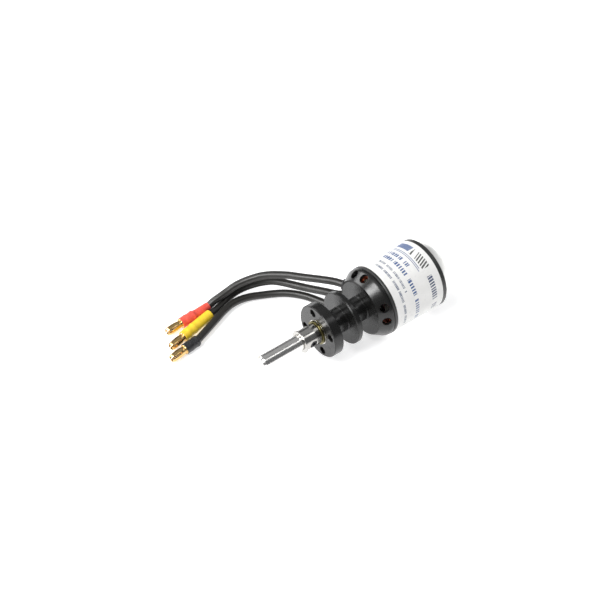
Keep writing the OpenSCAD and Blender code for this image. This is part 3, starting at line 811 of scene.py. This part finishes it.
flats = [flat_cut(SCREW_X, SCREW_ANGLE)] + [flat_cut(BELL_SCREW_X, a) for a in BELL_SCREW_ANGLES]
shaft_outline = [
    (0, SHAFT_REAR), (SHAFT_R - REAR_EDGE, SHAFT_REAR), (SHAFT_R, SHAFT_REAR + REAR_EDGE),
    (SHAFT_R, RELIEF_LOW), (FLAT_R, RELIEF_LOW), (FLAT_R, RELIEF_HIGH), (SHAFT_R, RELIEF_HIGH),
    (SHAFT_R, SHAFT_TIP - TIP_TAPER_LEN), (SHAFT_R - TIP_TAPER, SHAFT_TIP),
    (CENTRE_R, SHAFT_TIP), (0, SHAFT_TIP - CENTRE_DEPTH)]
piece("drive_shaft", lathe(shaft_outline, 144, 0.05), "polished_steel", "rotor", "shaft",
      cutters=flats)

THREAD_PITCH, THREAD_ROOT_R, THREAD_CREST_R = 0.25, 1.36, 1.48
THREAD_START, THREAD_END = 0.2, 0.3  # plain lengths below and above the ridges
SOCKET_R, SOCKET_DEPTH = 0.87, 0.8
COLLAR_SCREW_TOP, BELL_SCREW_TOP = 3.9, 5.1


def set_screw(r_high):
    """Headless screw drawn along +X, with flat ends and a thread of small ridges."""
    ridges = []
    count = int((r_high - THREAD_END - FLAT_R - THREAD_START) / THREAD_PITCH)
    for i in range(count):
        x = FLAT_R + THREAD_START + THREAD_PITCH * i
        ridges += [(THREAD_ROOT_R, x), (THREAD_CREST_R, x + THREAD_PITCH / 2)]
    return lathe([(0, FLAT_R), (1.2, FLAT_R), *ridges, (THREAD_ROOT_R, r_high - 0.2),
                  (1.22, r_high), (0, r_high)], 48, 0.02)


def hex_socket(r_high):
    floor = r_high - SOCKET_DEPTH
    return lathe([(0, floor), (SOCKET_R, floor), (SOCKET_R, r_high + 1), (0, r_high + 1)], 6, 0)


def place_screw(name, node, spots, x, r_high):
    screws = joined([placed(set_screw(r_high), at_angle(a, x)) for a in spots])
    sockets = [placed(hex_socket(r_high), at_angle(a, x)) for a in spots]
    piece(name, screws, "black_oxide", "rotor", node, cutters=sockets, sharp=30)


place_screw("collar_grub_screw", "collar_set_screw", [SCREW_ANGLE], SCREW_X,
            COLLAR_SCREW_TOP)
place_screw("bell_grub_screws", "bell_set_screws", BELL_SCREW_ANGLES, BELL_SCREW_X,
            BELL_SCREW_TOP)

# ---- rotor can, label and end bell ---------------------------------------------------------

CAN_R, CAN_BORE, CAN_FRONT, CAN_REAR, CAN_EDGE = 14, 13, -25.8, -50.8, 0.25
LABEL_FRONT, LABEL_REAR, SEAT_R = -26.9, -49.0, 13.87
LABEL_T, LABEL_GAP = 0.1, 0.05
can_outline = [
    (CAN_BORE, CAN_FRONT), (CAN_R - CAN_EDGE, CAN_FRONT), (CAN_R, CAN_FRONT - CAN_EDGE),
    (CAN_R, LABEL_FRONT), (SEAT_R, LABEL_FRONT), (SEAT_R, LABEL_REAR), (CAN_R, LABEL_REAR),
    (CAN_R, CAN_REAR + CAN_EDGE), (CAN_R - CAN_EDGE, CAN_REAR), (CAN_BORE, CAN_REAR)]
label_outline = ring(LABEL_REAR + LABEL_GAP, LABEL_FRONT - LABEL_GAP, SEAT_R + LABEL_T, SEAT_R)
piece("flux_can", lathe(can_outline, 240, 0.05), "can_black", "rotor", "rotor_can")
piece("label_print", lathe(label_outline, 240, 0.04), "label_film", "rotor", "label")

BELL_FRONT, BELL_REAR, SPOKES, SPOKE_HALF = -49, -57.4, 5, 1.8
WINDOW_IN, WINDOW_OUT, WINDOW_STEPS, WINDOW_ROUND, WINDOW_ANGLE = 5.9, 8.9, 10, 0.7, 18
BELL_HUB_R = 5.4


def window_outline():
    """Opening between two spokes with parallel sides, centred on +Y, with rounded corners."""
    half_in = 180 / SPOKES - math.degrees(math.asin(SPOKE_HALF / WINDOW_IN))
    half_out = 180 / SPOKES - math.degrees(math.asin(SPOKE_HALF / WINDOW_OUT))
    arcs = [(WINDOW_IN, half_in, -1), (WINDOW_OUT, half_out, 1)]
    corners = []
    for radius, half, way in arcs:
        for k in range(WINDOW_STEPS + 1):
            a = math.radians(way * half * (2 * k / WINDOW_STEPS - 1))
            corners.append((radius * math.cos(a), radius * math.sin(a)))
    return [tuple(p) for p in softened(corners, WINDOW_ROUND)]


# From the bore out along the inside of the dome to the rim, and back along its outside
bell_outline = [
    (SHAFT_R, BELL_FRONT), (BELL_HUB_R, BELL_FRONT), (BELL_HUB_R, -55.7), (6.05, -55.7), (8, -55),
    (9.6, -53.6), (10.6, -51.8), (11.05, -50), (11.6, -49.4), (11.6, -48.6), (CAN_BORE, -48.6),
    (CAN_BORE, CAN_REAR), (12.6, CAN_REAR - 0.1), (12.4, CAN_REAR - 0.4), (12.15, -52.1),
    (11.7, -53), (11.17, -54.02), (10.5, -54.9), (9.72, -55.72), (8.8, -56.4), (7.85, -56.98),
    (6.9, BELL_REAR), (SHAFT_R + 0.2, BELL_REAR), (SHAFT_R, BELL_REAR + 0.2)]
windows = [placed(prism(window_outline(), BELL_REAR - 2, BELL_FRONT + 2),
                  Matrix.Rotation(math.radians(WINDOW_ANGLE + 360 / SPOKES * i), 4, "X"))
           for i in range(SPOKES)]
screw_bores = [placed(drill(SCREW_R, BELL_HUB_R, BORE_LOW, 0.1), at_angle(a, BELL_SCREW_X))
               for a in BELL_SCREW_ANGLES]
bell = piece("spoked_bell", lathe(bell_outline, 192, 0.12), "aluminium", "rotor", "end_bell",
             cutters=windows)
carve(bell, joined(screw_bores))

# ---- CAD nodes that keep their shape -------------------------------------------------------

KEPT = {
    "bearing_tube": "aluminium", "stator_core": "lamination_steel",
    "stator_end_caps": "insulator", "phase_tails": "copper_enamel",
    "lead_inner_ends": "lead_insulation", "magnets": "magnet", "rear_spacer": "brass",
    "front_bearing_balls": "bearing_steel", "rear_bearing_balls": "bearing_steel",
    "front_bearing_cage": "cage_brass", "rear_bearing_cage": "cage_brass",
}
for node_name, node_finish in KEPT.items():
    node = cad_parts[node_name]
    node.data.materials.clear()
    node.data.materials.append(FINISH[node_finish])

# ---- floor and light -----------------------------------------------------------------------

FLOOR_HALF = 4.0
FLOOR_GLOW, SKY_STRENGTH = 0.62, 0.16
# Square soft boxes that face the motor: name, direction, distance and size in metres, and watts
SOFT_BOXES = [
    ("key", (0.35, -0.77, 0.53), 0.9, 0.5, 5),
    ("overhead", (-0.42, 0.30, 0.85), 0.9, 0.2, 0.3),
    ("front_panel", (0.57, 0.03, 0.82), 0.9, 0.36, 6.6),
    ("edge_panel", (0.88, 0.05, 0.42), 0.9, 0.34, 3.0),
    ("back_panel", (-0.42, -0.42, 0.80), 0.9, 0.7, 0.36),
    ("rear_panel", (-0.95, 0.1, 0.3), 0.9, 0.9, 1.35),
    ("fill", (0.15, 0.05, 1.0), 1.0, 0.7, 1.2),
]


def make_floor():
    half, height = FLOOR_HALF, cad_low.z
    data = bpy.data.meshes.new("floor")
    data.from_pydata([(-half, -half, height), (half, -half, height), (half, half, height),
                      (-half, half, height)], [], [[0, 1, 2, 3]])
    floor = bpy.data.objects.new("floor", data)
    bpy.context.scene.collection.objects.link(floor)
    g = Graph("table_top")
    patch = g.noise(g.object_point(), 3, 3)
    g.set(Base_Color=g.mix(patch, (0.76, 0.76, 0.76), (0.73, 0.73, 0.74)), Roughness=0.6)
    g.set(Emission_Color=(1, 1, 1, 1), Emission_Strength=FLOOR_GLOW)
    data.materials.append(g.material)


def soft_box(name, towards, distance, size, power):
    """A square area light that faces the motor from a direction."""
    data = bpy.data.lights.new(name, "AREA")
    data.shape, data.size, data.energy = "SQUARE", size, power
    light = bpy.data.objects.new(name, data)
    way = Vector(towards).normalized()
    target = (cad_low + cad_high) / 2
    light.location = target + way * distance
    light.rotation_mode = "QUATERNION"
    light.rotation_quaternion = way.to_track_quat("Z", "Y")
    bpy.context.scene.collection.objects.link(light)


def make_world():
    world = bpy.data.worlds.new("studio")
    bpy.context.scene.world = world
    world.use_nodes = True
    sky = world.node_tree.nodes["Background"]
    sky.inputs["Color"].default_value = (0.95, 0.97, 1.0, 1)
    sky.inputs["Strength"].default_value = SKY_STRENGTH


make_floor()
make_world()
for box in SOFT_BOXES:
    soft_box(*box)
bpy.context.scene.view_settings.view_transform = "Standard"
